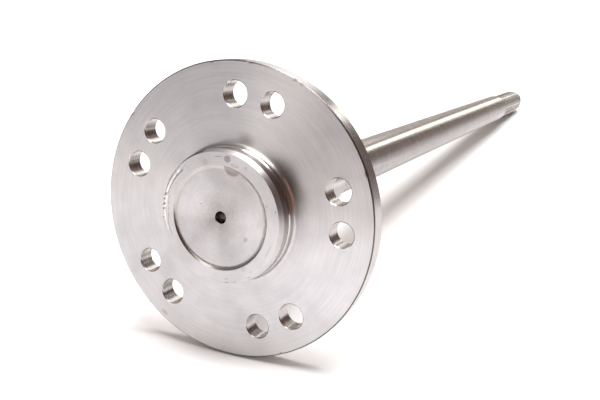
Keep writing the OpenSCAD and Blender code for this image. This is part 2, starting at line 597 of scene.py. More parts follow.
class Workshop:
    """The trees that turn, hob and drill steel, and the finishes that dress it."""

    ZONE_INPUTS = {zone.name: "NodeSocketMaterial" for zone in Zone}

    def __init__(self, finishes: dict[Zone, bpy.types.Material]) -> None:
        """Builds the trees.

        Args:
            finishes: The material of each zone.
        """
        self.finishes = finishes
        self.materials = {zone.name: finishes[zone] for zone in Zone}
        self.turning = self.turning_tree()
        self.hobbing = self.hobbing_tree()
        self.drilling = self.drilling_tree()

    def dress(self, tree: ShapeTree, geometry: Socket) -> None:
        """Ends a tree: realizes its instances and sets each face's material.

        Args:
            tree: The tree.
            geometry: Its geometry so far, whose faces carry their finish.
        """
        dressed = tree.node("GeometryNodeRealizeInstances", {"Geometry": geometry}).outputs["Geometry"]
        carried = tree.carried()
        for zone in Zone:
            pair = {"A": carried, "B": int(zone)}
            same = tree.node("FunctionNodeCompare", pair, data_type="INT", operation="EQUAL")
            inputs = {
                "Geometry": dressed, "Selection": same.outputs["Result"],
                "Material": tree.given[zone.name]}
            dressed = tree.node("GeometryNodeSetMaterial", inputs).outputs["Geometry"]
        tree.finish(dressed)

    def turning_tree(self) -> ShapeTree:
        """Builds the lathe: a grid with a row for each point of the section, wrapped round the axis.

        Returns:
            The tree.
        """
        tree = ShapeTree("turning", {"Segments": "NodeSocketInt", **self.ZONE_INPUTS})
        section = tree.given["Geometry"]
        segments = tree.given["Segments"]
        size = tree.node("GeometryNodeAttributeDomainSize", {"Geometry": section}, component="MESH")
        columns = tree.whole("ADD", segments, 1)
        counts = {"Vertices X": size.outputs["Point Count"], "Vertices Y": columns}
        grid = tree.node("GeometryNodeMeshGrid", counts)
        index = tree.node("GeometryNodeInputIndex").outputs[0]
        turn = tree.angle_of(tree.whole("MODULO", index, columns), segments)
        point = {
            "Geometry": section, "Value": tree.node("GeometryNodeInputPosition").outputs[0],
            "Index": tree.whole("DIVIDE_FLOOR", index, columns)}
        sample = tree.node("GeometryNodeSampleIndex", point, data_type="FLOAT_VECTOR", domain="POINT")
        parts = tree.node("ShaderNodeSeparateXYZ", {"Vector": sample.outputs[0]}).outputs
        wrapped = tree.round_axis(parts["X"], turn, parts["Z"])
        moved = tree.node(
            "GeometryNodeSetPosition", {"Geometry": grid.outputs["Mesh"], "Position": wrapped})
        row = {
            "Geometry": section, "Value": tree.carried(),
            "Index": tree.whole("DIVIDE_FLOOR", index, segments)}
        stretch = tree.node("GeometryNodeSampleIndex", row, data_type="INT", domain="POINT")
        zones = {"Geometry": moved.outputs["Geometry"], "Name": FINISH, "Value": stretch.outputs[0]}
        zoned = tree.node("GeometryNodeStoreNamedAttribute", zones, data_type="INT", domain="FACE")
        self.dress(tree, tree.welded(zoned.outputs["Geometry"]))
        return tree

    def hobbing_tree(self) -> ShapeTree:
        """Builds the ring of teeth: one space between two teeth, repeated round the axis.

        Returns:
            The tree.
        """
        tree = ShapeTree("hobbing", {"Teeth": "NodeSocketInt", **self.ZONE_INPUTS})
        teeth = tree.given["Teeth"]
        points = tree.node("GeometryNodePoints", {"Count": teeth})
        turn = tree.angle_of(tree.node("GeometryNodeInputIndex").outputs[0], teeth)
        heading = tree.node("ShaderNodeCombineXYZ", {"Z": turn})
        ring = tree.copies(points.outputs[0], tree.given["Geometry"], heading.outputs[0])
        self.dress(tree, tree.welded(ring))
        return tree

    def drilling_tree(self) -> ShapeTree:
        """Builds the drill press: a ring of equal cutters taken out of a solid.

        Returns:
            The tree.
        """
        tree = ShapeTree("drilling", {
            "Cutter": "NodeSocketObject", "Holes": "NodeSocketInt", "Circle Radius": "NodeSocketFloat",
            "First Angle": "NodeSocketFloat", "Drilled": "NodeSocketMaterial"})
        points = tree.node("GeometryNodePoints", {"Count": tree.given["Holes"]})
        turn = tree.angle_of(tree.node("GeometryNodeInputIndex").outputs[0], tree.given["Holes"])
        angle = tree.math("SUBTRACT", tree.given["First Angle"], turn)
        place = tree.round_axis(tree.given["Circle Radius"], angle)
        set_out = tree.node("GeometryNodeSetPosition", {"Geometry": points.outputs[0], "Position": place})
        cutter = tree.node("GeometryNodeObjectInfo", {"Object": tree.given["Cutter"]})
        ring = tree.copies(set_out.outputs[0], cutter.outputs["Geometry"])
        dressed = tree.node(
            "GeometryNodeSetMaterial", {"Geometry": ring, "Material": tree.given["Drilled"]})
        pair = {"Mesh 1": tree.given["Geometry"], "Mesh 2": dressed.outputs["Geometry"]}
        drilled = tree.node("GeometryNodeMeshBoolean", pair, operation="DIFFERENCE", solver="MANIFOLD")
        tree.finish(drilled.outputs["Mesh"])
        return tree

    def turn(self, name: str, corners: list[Corner], segments: int) -> bpy.types.Mesh:
        """Turns a section into a mesh.

        Args:
            name: The mesh's name.
            corners: The section.
            segments: Steps round the axis.

        Returns:
            The turned mesh.
        """
        section = Section(corners).mesh(name + "_section")
        return self.turning.run(name, section, {"Segments": segments, **self.materials})

    def hob(self, name: str, space: bpy.types.Mesh, teeth: int) -> bpy.types.Mesh:
        """Repeats the space between two teeth into a whole ring."""
        return self.hobbing.run(name, space, {"Teeth": teeth, **self.materials})

    def drill(self, mesh: bpy.types.Mesh, cutter: bpy.types.Mesh, ring: "StudRing") -> bpy.types.Mesh:
        """Drills a ring of holes.

        Args:
            mesh: The solid.
            cutter: What one hole takes out.
            ring: How many holes there are and where they lie.

        Returns:
            The drilled mesh.
        """
        tool = bpy.data.objects.new("cutter", cutter)
        bpy.context.scene.collection.objects.link(tool)
        sizes = {
            "Cutter": tool, "Holes": ring.count, "Circle Radius": ring.circle_r * MM,
            "First Angle": math.radians(ring.first_angle), "Drilled": self.finishes[Zone.DRILLED]}
        made = self.drilling.run(mesh.name, mesh, sizes)
        bpy.data.objects.remove(tool)
        return made


@dataclass
class Pilot:
    """The stepped pilot that centres drum and wheel, its dished recess and the blind hole."""

    drum_land_r: float = MOUNTS["drum_pilot"]["dims"]["r_mm"]
    drum_land_len: float = 4.2
    wheel_land_r: float = MOUNTS["wheel_pilot"]["dims"]["r_mm"]
    step_len: float = 0.6
    height: float = 13.1
    lead_len: float = 3.4
    lead_cone: float = 18.5
    fillet: float = 1.5
    recess_r: float = 26.75
    recess_depth: float = 0.8
    nose_r: float = 3.8
    dish: float = 0.8
    centre_r: float = 3.15
    centre_depth: float = 16.0
    drill_point: float = 118.0
    edge: float = 0.18
    nose_steps: int = 8
    scrape_r: float = 31.2
    scrape_gap: float = 0.16
    step_edge: float = 0.06

    @property
    def face_r(self) -> float:
        """Outer radius of the end face."""
        return self.wheel_land_r - self.lead_len * math.tan(math.radians(self.lead_cone))

    @property
    def scrape_middle(self) -> float:
        """Radius of a ring between the scrape's inner limit and the edge."""
        return (self.scrape_r + self.face_r) / 2

    def corners(self) -> list[Corner]:
        """Draws the section from the bottom of the blind hole to the foot of the pilot.

        Returns:
            The corners.
        """
        floor = self.height - self.recess_depth
        bottom = self.height - self.centre_depth
        point = bottom - self.centre_r / math.tan(math.radians(self.drill_point / 2))
        sweep = math.acos(1 - self.recess_depth / self.nose_r)
        floor_r = self.recess_r - self.nose_r * math.sin(sweep)
        corners = [
            Corner(0, point, Zone.DRILLED),
            Corner(self.centre_r, bottom, Zone.DRILLED),
            Corner(self.centre_r, floor - self.dish, Zone.RECESS, self.edge),
        ]
        for i in range(self.nose_steps):
            angle = sweep * i / self.nose_steps
            corners.append(Corner(
                floor_r + self.nose_r * math.sin(angle),
                floor + self.nose_r * (1 - math.cos(angle)), Zone.RECESS_WALL))
        corners += [
            Corner(self.recess_r, self.height, Zone.PILOT_FACE, self.edge),
            Corner(self.scrape_r - self.scrape_gap, self.height, Zone.PILOT_FACE),
            Corner(self.scrape_r, self.height, Zone.PILOT_FACE),
            Corner(self.scrape_r + self.scrape_gap, self.height, Zone.PILOT_FACE),
            Corner(self.scrape_middle, self.height, Zone.PILOT_FACE),
            Corner(self.face_r, self.height, Zone.LEAD, self.edge),
            Corner(self.wheel_land_r, self.height - self.lead_len, Zone.LAND, self.edge),
            Corner(self.wheel_land_r, self.drum_land_len + self.step_len, Zone.LAND, self.step_edge),
            Corner(self.drum_land_r, self.drum_land_len, Zone.LAND, self.step_edge),
            Corner(self.drum_land_r, 0, Zone.FACED, self.fillet),
        ]
        return corners


@dataclass
class StudRing:
    """One set of equal stud holes on the stud circle."""

    hole_r: float
    first_angle: float
    count: int = 5
    circle_r: float = MOUNTS["wide_studs"]["dims"]["pcd_mm"] / 2


@dataclass
class WheelFlange:
    """The round wheel flange with its two sets of stud holes."""

    radius: float = 76.9
    thickness: float = 10.0
    chamfer: float = 0.6
    stud_clock: float = 89.5
    pair_angle: float = 20.1
    stud_edge: float = 0.4
    edge: float = 0.15
    cut: float = 1.0
    nick_guard: float = 1.3
    guard_gap: float = 0.2
    hole_segments: int = 96

    def corners(self) -> list[Corner]:
        """Draws the section from the front face to the back face.

        Returns:
            The corners.
        """
        inner = self.radius - self.chamfer
        return [
            Corner(self.radius - self.nick_guard - self.guard_gap, 0, Zone.FACED),
            Corner(self.radius - self.nick_guard, 0, Zone.FACED),
            Corner(inner, 0, Zone.CHAMFER, self.edge),
            Corner(self.radius, -self.chamfer, Zone.RIM, self.edge),
            Corner(self.radius, -self.nick_guard, Zone.RIM),
            Corner(self.radius, -self.nick_guard - self.guard_gap, Zone.RIM),
            Corner(self.radius, self.chamfer - self.thickness, Zone.CHAMFER, self.edge),
            Corner(inner, -self.thickness, Zone.FACED, self.edge),
        ]

    def rings(self) -> list[StudRing]:
        """Sets out the stud holes.

        Returns:
            The wide set and the slim set.
        """
        return [
            StudRing(MOUNTS["wide_studs"]["dims"]["hole_r_mm"], self.stud_clock),
            StudRing(MOUNTS["slim_studs"]["dims"]["hole_r_mm"], self.stud_clock - self.pair_angle),
        ]

    def cutter(self, hole_r: float) -> list[Corner]:
        """Draws the section of what one stud hole takes out, both mouths deburred.

        Args:
            hole_r: The hole's radius.

        Returns:
            The corners.
        """
        wide = hole_r + self.stud_edge + self.cut
        return [
            Corner(0, self.cut, Zone.DRILLED),
            Corner(wide, self.cut, Zone.DRILLED),
            Corner(hole_r, -self.stud_edge, Zone.DRILLED),
            Corner(hole_r, self.stud_edge - self.thickness, Zone.DRILLED),
            Corner(wide, -self.thickness - self.cut, Zone.DRILLED),
            Corner(0, -self.thickness - self.cut, Zone.DRILLED),
        ]


@dataclass
class JournalAndBar:
    """The ground bearing journal and the plain bar behind it."""

    journal_r: float = MOUNTS["bearing_journal"]["dims"]["r_mm"]
    journal_end: float = -110.0
    hub_fillet: float = 8.0
    cone: float = 15.0
    bar_r: float = 14.9
    edge: float = 0.15

    def corners(self, flange: WheelFlange, bar_end: float) -> list[Corner]:
        """Draws the section from the back of the flange to the start of the spline's run-out.

        Args:
            flange: The flange that the journal grows from.
            bar_end: Where the bar's plain part ends.

        Returns:
            The corners.
        """
        bar_start = self.journal_end - (self.journal_r - self.bar_r) / math.tan(math.radians(self.cone))
        return [
            Corner(self.journal_r, -flange.thickness, Zone.GROUND, self.hub_fillet),
            Corner(self.journal_r, self.journal_end, Zone.BAR, self.edge),
            Corner(self.bar_r, bar_start, Zone.BAR, self.edge),
            Corner(self.bar_r, (bar_start + bar_end) / 2, Zone.BAR),
            Corner(self.bar_r, bar_end, Zone.BAR),
        ]


@dataclass
class SplinedEnd:
    """The hobbed spline with its run-out, the clip groove and the button."""

    bar_r: float
    teeth: int = 26
    module: float = 1.0
    pressure_angle: float = 30.0
    tip_rise: float = 0.5
    root_fall: float = 0.675
    length: float = 105.0
    shoulder_cone: float = 30.0
    tip_chamfer: float = 1.0
    hob_r: float = 38.0
    runout_gap: float = 9.0
    end: float = -755.0
    clip_w: float = 5.4
    clip_r: float = 9.75
    button_r: float = 12.2
    button_len: float = 6.8
    button_chamfer: float = 1.2
    centre_r: float = 4.5
    centre_drill_r: float = 2.0
    centre_drill_depth: float = 5.0
    centre_cone: float = 60.0
    drill_point: float = 118.0
    edge: float = 0.15
    lead_in: float = 3.0
    flank_steps: int = 4
    tip_steps: int = 3
    runout_steps: int = 14
    least_step: float = math.radians(0.08)
    # A flank is followed up to this share, and the point where it meets the blank is found by halving.
    furthest_share: float = 4.0
    halvings: int = 40

    def __post_init__(self) -> None:
        """Works out the radii and stations."""
        self.pitch_r = self.teeth * self.module / 2
        self.base_r = self.pitch_r * math.cos(math.radians(self.pressure_angle))
        self.major_r = self.pitch_r + self.tip_rise * self.module
        self.minor_r = self.pitch_r - self.root_fall * self.module
        self.hob_centre_r = self.minor_r + self.hob_r
        self.tip = self.end + self.button_len + self.clip_w
        self.heel = self.tip + self.tip_chamfer
        self.foot = self.tip + self.length
        shoulder_rise = self.bar_r - self.major_r
        self.shoulder = self.foot + shoulder_rise / math.tan(math.radians(self.shoulder_cone))
        self.full_depth = self.foot - self.runout_gap
        rise = self.bar_r - self.minor_r
        self.exit = self.full_depth + math.sqrt(self.hob_r ** 2 - (self.hob_r - rise) ** 2)
        self.start = self.exit + self.lead_in

    @property
    def half_steps(self) -> int:
        """Steps from the middle of a groove to the middle of a tooth."""
        return 1 + self.flank_steps + self.tip_steps

    @property
    def ring_steps(self) -> int:
        """Steps of a whole ring, for the turned parts that meet the teeth."""
        return 2 * self.teeth * self.half_steps

    def half_space(self, r: float) -> float:
        """Measures the space between two teeth.

        Args:
            r: The radius at which it is measured.

        Returns:
            Half the angle that it spans.
        """
        pressure = math.radians(self.pressure_angle)
        here = math.acos(self.base_r / r)
        return math.pi / 2 / self.teeth - (math.tan(pressure) - pressure) + math.tan(here) - here

    def blank_r(self, z: float) -> float:
        """Measures the blank before hobbing.

        Args:
            z: The height at which it is measured.

        Returns:
            Its radius.
        """
        stations = (self.tip, self.heel, self.foot, self.shoulder)
        radii = (self.major_r - self.tip_chamfer, self.major_r, self.major_r, self.bar_r)
        return float(np.interp(z, stations, radii))

    def flank(self, share: float, z: float) -> tuple[float, float]:
        """Finds a point on one side of a groove.

        Args:
            share: 0 at the root, 1 at the tip, and more on the straight line beyond it.
            z: The height.

        Returns:
            Its radius and its angle from the middle of the groove.
        """
        r = self.minor_r + min(share, 1.0) * (self.major_r - self.minor_r)
        out = r * math.cos(self.half_space(r)) + max(0.0, share - 1.0)
        side = r * math.sin(self.half_space(r))
        lift = max(0.0, z - self.full_depth)
        out = self.hob_centre_r - math.sqrt((self.hob_centre_r - out) ** 2 - lift ** 2)
        return math.hypot(out, side), math.atan2(side, out)

    def half_ring(self, z: float) -> list[tuple[float, float]]:
        """Cuts half a groove and half a tooth at a height.

        Args:
            z: The height.

        Returns:
            Radius and angle of each point, from the middle of the groove to the middle of the tooth.
        """
        blank = self.blank_r(z)
        low, high = 0.0, self.furthest_share
        for _ in range(self.halvings):
            middle = (low + high) / 2
            low, high = (middle, high) if self.flank(middle, z)[0] < blank else (low, middle)
        root_r, root_angle = self.flank(0.0, z)
        made = [(min(blank, root_r * math.cos(root_angle)), 0.0)]
        for i in range(self.flank_steps + 1):
            r, angle = self.flank(low * i / self.flank_steps, z)
            made.append((min(blank, r), max(angle, made[-1][1] + self.least_step)))
        top = made[-1][1]
        half_pitch = math.pi / self.teeth
        for i in range(1, self.tip_steps + 1):
            made.append((blank, top + (half_pitch - top) * i / self.tip_steps))
        return made

    def even_ring(self, r: float) -> list[tuple[float, float]]:
        """Returns as many points evenly spaced on a plain ring."""
        half_pitch = math.pi / self.teeth
        return [(r, half_pitch * i / self.half_steps) for i in range(self.half_steps + 1)]

    def stations(self) -> list[float]:
        """Chooses where the hobbed part is cut.

        Returns:
            The heights, from the bar to the tip.
        """
        runout = self.exit - self.full_depth
        steps = self.runout_steps
        heights = {self.full_depth + runout * i / steps for i in range(steps + 1)}
        heights |= {self.shoulder, self.foot, (self.full_depth + self.heel) / 2, self.heel, self.tip}
        return sorted(heights, reverse=True)

    def space(self) -> bpy.types.Mesh:
        """Makes one space between two teeth, with half a tooth on each side.

        Returns:
            The mesh of that slice, whose groove points down.
        """
        rings = [(self.start, self.even_ring(self.bar_r))]
        rings += [(z, self.half_ring(z)) for z in self.stations()]
        rings += [(self.tip, self.even_ring(r)) for r in ((self.minor_r + self.clip_r) / 2, self.clip_r)]
        columns = 2 * self.half_steps + 1
        points = []
        for z, half in rings:
            whole = [(r, -angle) for r, angle in reversed(half[1:])] + half
            for r, angle in whole:
                turn = angle - math.pi / 2
                points.append((r * math.cos(turn) * MM, r * math.sin(turn) * MM, z * MM))
        faces = grid_faces(len(rings), columns)
        made = bpy.data.meshes.new("tooth_space")
        made.from_pydata(points, [], faces)
        zones = made.attributes.new(FINISH, "INT", "FACE")
        plain = columns - 1
        marked = [int(Zone.BAR)] * plain + [int(Zone.SPLINE)] * (len(faces) - plain)
        zones.data.foreach_set("value", marked)
        return made

    def corners(self) -> list[Corner]:
        """Draws the section from the foot of the clip groove to the bottom of the lathe centre.

        Returns:
            The corners.
        """
        button = self.end + self.button_len
        cone = (self.centre_r - self.centre_drill_r) / math.tan(math.radians(self.centre_cone / 2))
        bottom = self.end + cone + self.centre_drill_depth
        point = bottom + self.centre_drill_r / math.tan(math.radians(self.drill_point / 2))
        return [
            Corner(self.clip_r, self.tip, Zone.LAND),
            Corner(self.clip_r, button, Zone.LAND),
            Corner(self.button_r, button, Zone.LAND, self.edge),
            Corner(self.button_r, self.end + self.button_chamfer, Zone.LAND, self.edge),
            Corner(self.button_r - self.button_chamfer, self.end, Zone.FACED, self.edge),
            Corner(self.centre_r, self.end, Zone.DRILLED, self.edge),
            Corner(self.centre_drill_r, self.end + cone, Zone.DRILLED),
            Corner(self.centre_drill_r, bottom, Zone.DRILLED),
            Corner(0, point, Zone.DRILLED),
        ]


@dataclass(frozen=True)
class Nick:
    """A small blow on an edge: its angle and width in degrees, its depth in millimetres."""

    angle: float
    width: float
    depth: float
    soil: float = 0.3


@dataclass
class Skin:
    """The points of the drawn shaft's surface round its axis, and how much each is darkened."""

    r: np.ndarray
    angle: np.ndarray
    z: np.ndarray
    soil: np.ndarray

    @classmethod
    def of(cls, mesh: bpy.types.Mesh) -> "Skin":
        """Reads a mesh.

        Args:
            mesh: The drawn shaft.

        Returns:
            Its points, not yet darkened.
        """
        flat = np.empty(len(mesh.vertices) * 3)
        mesh.vertices.foreach_get("co", flat)
        x, y, z = (flat.reshape(-1, 3) / MM).T
        return cls(np.hypot(x, y), np.degrees(np.arctan2(y, x)) % 360.0, z, np.zeros(len(z)))

    def put(self, mesh: bpy.types.Mesh) -> None:
        """Writes the points and their darkening back.

        Args:
            mesh: The mesh that they were read from.
        """
        turn = np.radians(self.angle)
        worn = np.stack((self.r * np.cos(turn), self.r * np.sin(turn), self.z), axis=1) * MM
        mesh.vertices.foreach_set("co", worn.ravel())
        mesh.attributes.new(DARKENING, "FLOAT", "POINT").data.foreach_set("value", self.soil)
        mesh.update()

    def strike(self, edge: np.ndarray, nicks: tuple[Nick, ...]) -> None:
        """Strikes nicks into an edge.

        Args:
            edge: Which points belong to the edge.
            nicks: The nicks.
        """
        for nick in nicks:
            apart = np.abs((self.angle - nick.angle + 180.0) % 360.0 - 180.0)
            blow = np.where(edge, np.clip(1.0 - apart / nick.width, 0.0, 1.0), 0.0)
            self.r = self.r - blow * nick.depth
            self.z = self.z - blow * nick.depth
            self.soil = np.maximum(self.soil, blow * nick.soil)


@dataclass
class Wear:
    """The nicks on the flange's front edge, and the scrape and burrs on the pilot's edge.

    The scrape runs round the left edge of the pilot. Its inner limit, its fall at the edge and the
    painted shade along its inner limit, darker at the dents, are given at angles round the axis.
    """

    flange_nicks: tuple[Nick, ...] = (
        Nick(143.0, 0.9, 0.2), Nick(100.0, 0.9, 0.2), Nick(84.0, 0.9, 0.2), Nick(64.7, 1.0, 0.3, 0.9),
        Nick(61.8, 0.9, 0.25, 0.9), Nick(22.0, 1.6, 0.2), Nick(-66.5, 0.9, 0.3),
    )
    pilot_nicks: tuple[Nick, ...] = (
        Nick(164.5, 1.0, 0.5, 0.8), Nick(169.0, 0.9, 0.25, 0.1), Nick(174.0, 0.9, 0.4, 0.6),
        Nick(178.0, 0.9, 0.3), Nick(186.0, 0.9, 0.25, 0.1),
    )
    inner_limit: tuple[tuple[float, float], ...] = (
        (131.0, 31.28), (134.0, 30.4), (144.0, 30.65), (153.0, 30.95), (162.0, 31.1), (164.5, 31.9),
        (178.0, 31.3), (181.0, 31.0), (192.0, 30.6), (203.0, 30.1), (207.0, 31.28),
    )
    fall: tuple[tuple[float, float], ...] = (
        (131.0, 0.0), (134.0, 0.10), (140.0, 0.22), (155.0, 0.24), (163.0, 0.18), (166.0, 0.08),
        (178.0, 0.06), (186.0, 0.04), (203.0, 0.02), (207.0, 0.0),
    )
    # Painted shade along the scrape's inner step, darker at the dents.
    scrape_darkening: tuple[tuple[float, float], ...] = (
        (133.0, 0.0), (136.0, 0.05), (162.0, 0.05), (164.5, 0.9), (166.0, 0.05), (177.0, 0.05),
        (178.0, 0.8), (179.0, 0.08), (181.0, 0.7), (182.2, 0.1), (203.0, 0.06), (205.0, 0.0),
    )
    ledge: float = 0.05
    ring_band: float = 1.5
    edge_band: float = 1.0
    reach: float = 1.2

    def apply(self, mesh: bpy.types.Mesh, pilot: Pilot, flange: WheelFlange) -> None:
        """Wears the drawn shaft, always inward, and marks where dirt has gathered.

        Args:
            mesh: The drilled shaft, not yet laid down.
            pilot: Its pilot.
            Wears the drawn shaft, always inward, and sets how much each point is darkened.
        """
        skin = Skin.of(mesh)
        self.scrape(skin, pilot)
        on_pilot = (skin.r > pilot.face_r - self.edge_band) & (skin.z > pilot.height - self.reach)
        skin.strike(on_pilot, self.pilot_nicks)
        on_rim = (skin.r > flange.radius - self.edge_band) & (skin.z > -self.reach)
        skin.strike(on_rim, self.flange_nicks)
        skin.put(mesh)

    def scrape(self, skin: Skin, pilot: Pilot) -> None:
        """Scrapes the pilot's left edge.

        Args:
            skin: The shaft's surface.
            pilot: The pilot.
        """
        limit = np.interp(skin.angle, *zip(*self.inner_limit))
        fall = np.interp(skin.angle, *zip(*self.fall))
        touched = (skin.angle > self.fall[0][0]) & (skin.angle < self.fall[-1][0])
        touched &= skin.z > pilot.height - self.reach
        ring = touched & (np.abs(skin.r - pilot.scrape_r) < self.ring_band * pilot.scrape_gap)
        outer_ring = ring & (skin.r > pilot.scrape_r + pilot.scrape_gap / 2)
        middle_ring = touched & (np.abs(skin.r - pilot.scrape_middle) < pilot.scrape_gap)
        r = np.where(ring, limit + skin.r - pilot.scrape_r - pilot.scrape_gap / 2, skin.r)
        skin.r = np.where(middle_ring, (limit + pilot.face_r) / 2, r)
        # Painted shade along the scrape's inner step, darker at the dents.
        skin.soil = np.where(outer_ring, np.interp(skin.angle, *zip(*self.scrape_darkening)), skin.soil)
        lowered = pilot.height - np.minimum(self.ledge, fall)
        lowered = lowered - fall * (skin.r - limit) / (pilot.face_r - limit)
        worn = touched & (skin.r > limit) & (skin.r < pilot.wheel_land_r)
        skin.z = np.where(worn, np.minimum(skin.z, lowered), skin.z)


class AxleShaft:
    """The whole shaft, one piece of steel."""

    NAME = "turned_axle_shaft"

    def __init__(self, place: Lie, finishes: dict[Zone, bpy.types.Material]) -> None:
        """Sets up the parts of the shaft.

        Args:
            place: Where the shaft lies.
            finishes: The material of each zone.
        """
        self.place = place
        self.shop = Workshop(finishes)
        self.pilot = Pilot()
        self.flange = WheelFlange()
        self.bar = JournalAndBar()
        self.spline = SplinedEnd(self.bar.bar_r)
        self.wear = Wear()

    def build(self) -> bpy.types.Object:
        """Turns, hobs and drills the shaft, and lays it down.

        Returns:
            The finished piece.
        """
        wheel_side = self.pilot.corners() + self.flange.corners()
        wheel_side += self.bar.corners(self.flange, self.spline.start)
        mesh = self.weld([
            self.shop.turn("wheel_side", wheel_side, self.spline.ring_steps),
            self.shop.hob("teeth", self.spline.space(), self.spline.teeth),
            self.shop.turn("clip_end", self.spline.corners(), self.spline.ring_steps),
        ])
        for ring in self.flange.rings():
            section = self.flange.cutter(ring.hole_r)
            cutter = self.shop.turn("stud_cutter", section, self.flange.hole_segments)
            mesh = self.shop.drill(mesh, cutter, ring)
        mesh.name = self.NAME
        self.wear.apply(mesh, self.pilot, self.flange)
        mesh.transform(self.place.matrix())
        self.smooth(mesh)
        piece = bpy.data.objects.new(self.NAME, mesh)
        bpy.context.scene.collection.objects.link(piece)
        return piece

    def weld(self, parts: list[bpy.types.Mesh]) -> bpy.types.Mesh:
        """Joins the parts at their shared rings into one closed mesh.

        Args:
            parts: The turned and hobbed meshes.

        Returns:
            The joined mesh.
        """
        made = bmesh.new()
        for part in parts:
            zones = np.zeros(len(part.polygons), np.int32)
            part.attributes[FINISH].data.foreach_get("value", zones)
            part.polygons.foreach_set("material_index", zones)
            made.from_mesh(part)
        bmesh.ops.remove_doubles(made, verts=made.verts, dist=2 * WELD)
        bmesh.ops.recalc_face_normals(made, faces=made.faces)
        mesh = bpy.data.meshes.new(self.NAME)
        made.to_mesh(mesh)
        made.free()
        for zone in Zone:
            mesh.materials.append(self.shop.finishes[zone])
        return mesh

    def smooth(self, mesh: bpy.types.Mesh) -> None:
        """Shades the mesh smooth between its real edges."""
        mesh.polygons.foreach_set("use_smooth", [True] * len(mesh.polygons))
        mesh.set_sharp_from_angle(angle=SHARP_ANGLE)


def trail(points: tuple[tuple[float, float], ...], across: float, along: float, strength: float,
          **look: Any) -> tuple[StainOrPaintedLight, ...]:
    """Lays equal marks one after the other, so that they make a line of painted shade, or of bare metal
    painted as a highlight.

    Args:
        points: Angle and radius of each mark.
        across: Its half width, out from the axis.
        along: Its half length, round the axis.
        strength: How much of the clean steel it hides.
        look: Its blur, colour and other values of a mark.

    Returns:
        The marks.
    """
    return tuple(StainOrPaintedLight(angle, radius, across, along, strength, **look) for angle, radius in points)


def face_stains_and_shade() -> tuple[StainOrPaintedLight, ...]:
    """Places the marks on the flange's face.

    Returns:
        A stain near the rim, painted shade beside the pilot where its dark side is reflected, and the
        rust at its foot.
    """
    rust = {"blur": 0.8, "colour": (0.26, 0.075, 0.028), "matte": 0.85}
    strengths = ((33, 0.5), (27, 0.8), (21, 0.9), (15, 0.9), (9, 0.5))
    return (
        StainOrPaintedLight(-123.7, 73.8, 1.2, 2.2, 0.3),
        # Painted shade: the pilot's dark reflection on the face to its right and above it.
        StainOrPaintedLight(32, 38.5, 6.0, 17.0, 0.5, blur=0.95),
        StainOrPaintedLight(79, 38.5, 5.0, 6.5, 0.4, blur=0.95),
        *(StainOrPaintedLight(angle, 35.9, 0.9, 3.4, strength, **rust) for angle, strength in strengths),
    )


def pilot_stains_and_painted_light() -> tuple[StainOrPaintedLight, ...]:
    """Places the marks on the pilot's end face.

    Returns:
        Its spots and scratches, the scrape's bare metal painted as a highlight, and lines of painted
        shade.
    """
    # The scrape's bare metal is real wear, painted near-white and matte as a highlight.
    bare_painted_highlight = {"colour": (0.92, 0.915, 0.91), "matte": 0.7}
    return (
        StainOrPaintedLight(82, 30.3, 1.9, 1.9, 0.55),
        StainOrPaintedLight(107, 28.6, 1.3, 1.3, 0.28, hollow=0.6),
        StainOrPaintedLight(73, 28.3, 0.8, 2.2, 0.4, hollow=0.5),
        StainOrPaintedLight(-59, 28.0, 1.1, 1.4, 0.25, hollow=0.6),
        StainOrPaintedLight(92, 30.8, 0.35, 3.2, 0.5, blur=0.5),
        StainOrPaintedLight(61.5, 30.2, 0.8, 0.8, 0.35, hollow=0.5),
        StainOrPaintedLight(19.8, 27.9, 0.5, 0.8, 0.4),
        StainOrPaintedLight(13.2, 32.0, 0.4, 0.7, 0.45),
        StainOrPaintedLight(-25, 30.6, 0.3, 5.0, 0.4, blur=0.5),
        StainOrPaintedLight(-53.3, 30.9, 0.3, 1.2, 0.4, blur=0.5),
        StainOrPaintedLight(-57.8, 32.8, 0.3, 1.2, 0.5, blur=0.5),
        StainOrPaintedLight(-73.1, 32.9, 0.3, 1.5, 0.55, blur=0.5),
        StainOrPaintedLight(-81.2, 32.9, 0.3, 1.6, 0.6, blur=0.5),
        StainOrPaintedLight(-81.2, 31.0, 0.4, 2.0, 0.35, blur=0.5),
        *trail(((139, 31.6), (146, 31.8), (152, 31.9), (158, 32.0), (162, 32.0)),
               0.85, 2.8, 0.8, blur=0.6, **bare_painted_highlight),
        *trail(((168.5, 31.5), (174.5, 31.7), (181, 31.8), (186, 31.8)),
               0.7, 2.4, 0.75, blur=0.6, **bare_painted_highlight),
        *trail(((191, 31.6), (196, 31.3)), 0.6, 2.4, 0.45, blur=0.8, **bare_painted_highlight),
        # Painted shade: dark lines along the scrape's inner step and just inside the pilot's outer edge.
        *trail(((136, 30.45), (141, 30.6), (146, 30.75), (151, 30.9), (156, 31.0), (161, 31.1)),
               0.26, 2.0, 0.7, blur=0.6),
        *trail(((136, 33.1), (141, 33.1), (146, 33.0), (151, 33.0), (156, 33.0), (161, 33.0)),
               0.32, 2.0, 0.8, blur=0.5),
        *trail(((167, 30.15), (172, 29.9), (178, 29.7), (184, 29.7), (189, 30.0), (193.5, 30.3),
                (198, 30.2), (203, 30.0)), 0.28, 2.0, 0.55, blur=0.6),
    )


def recess_stains_and_shade() -> tuple[StainOrPaintedLight, ...]:
    """Places the marks on the recess's floor.

    Returns:
        Painted shade on its middle and on its upper side, a smear and a dot.
    """
    # Painted shade: darker round the middle and on the upper side of the recess's floor.
    painted_shade_grey = {"blur": 0.9, "colour": (0.30, 0.275, 0.26)}
    return (
        StainOrPaintedLight(90, 0.0, 17.0, 17.0, 0.75, **painted_shade_grey),
        StainOrPaintedLight(62, 18.0, 12.0, 22.0, 0.4, **painted_shade_grey),
        StainOrPaintedLight(-32.2, 17.3, 1.5, 1.5, 0.45, blur=0.5, colour=(0.28, 0.19, 0.13)),
        StainOrPaintedLight(153, 12.5, 0.45, 0.45, 0.6),
    )


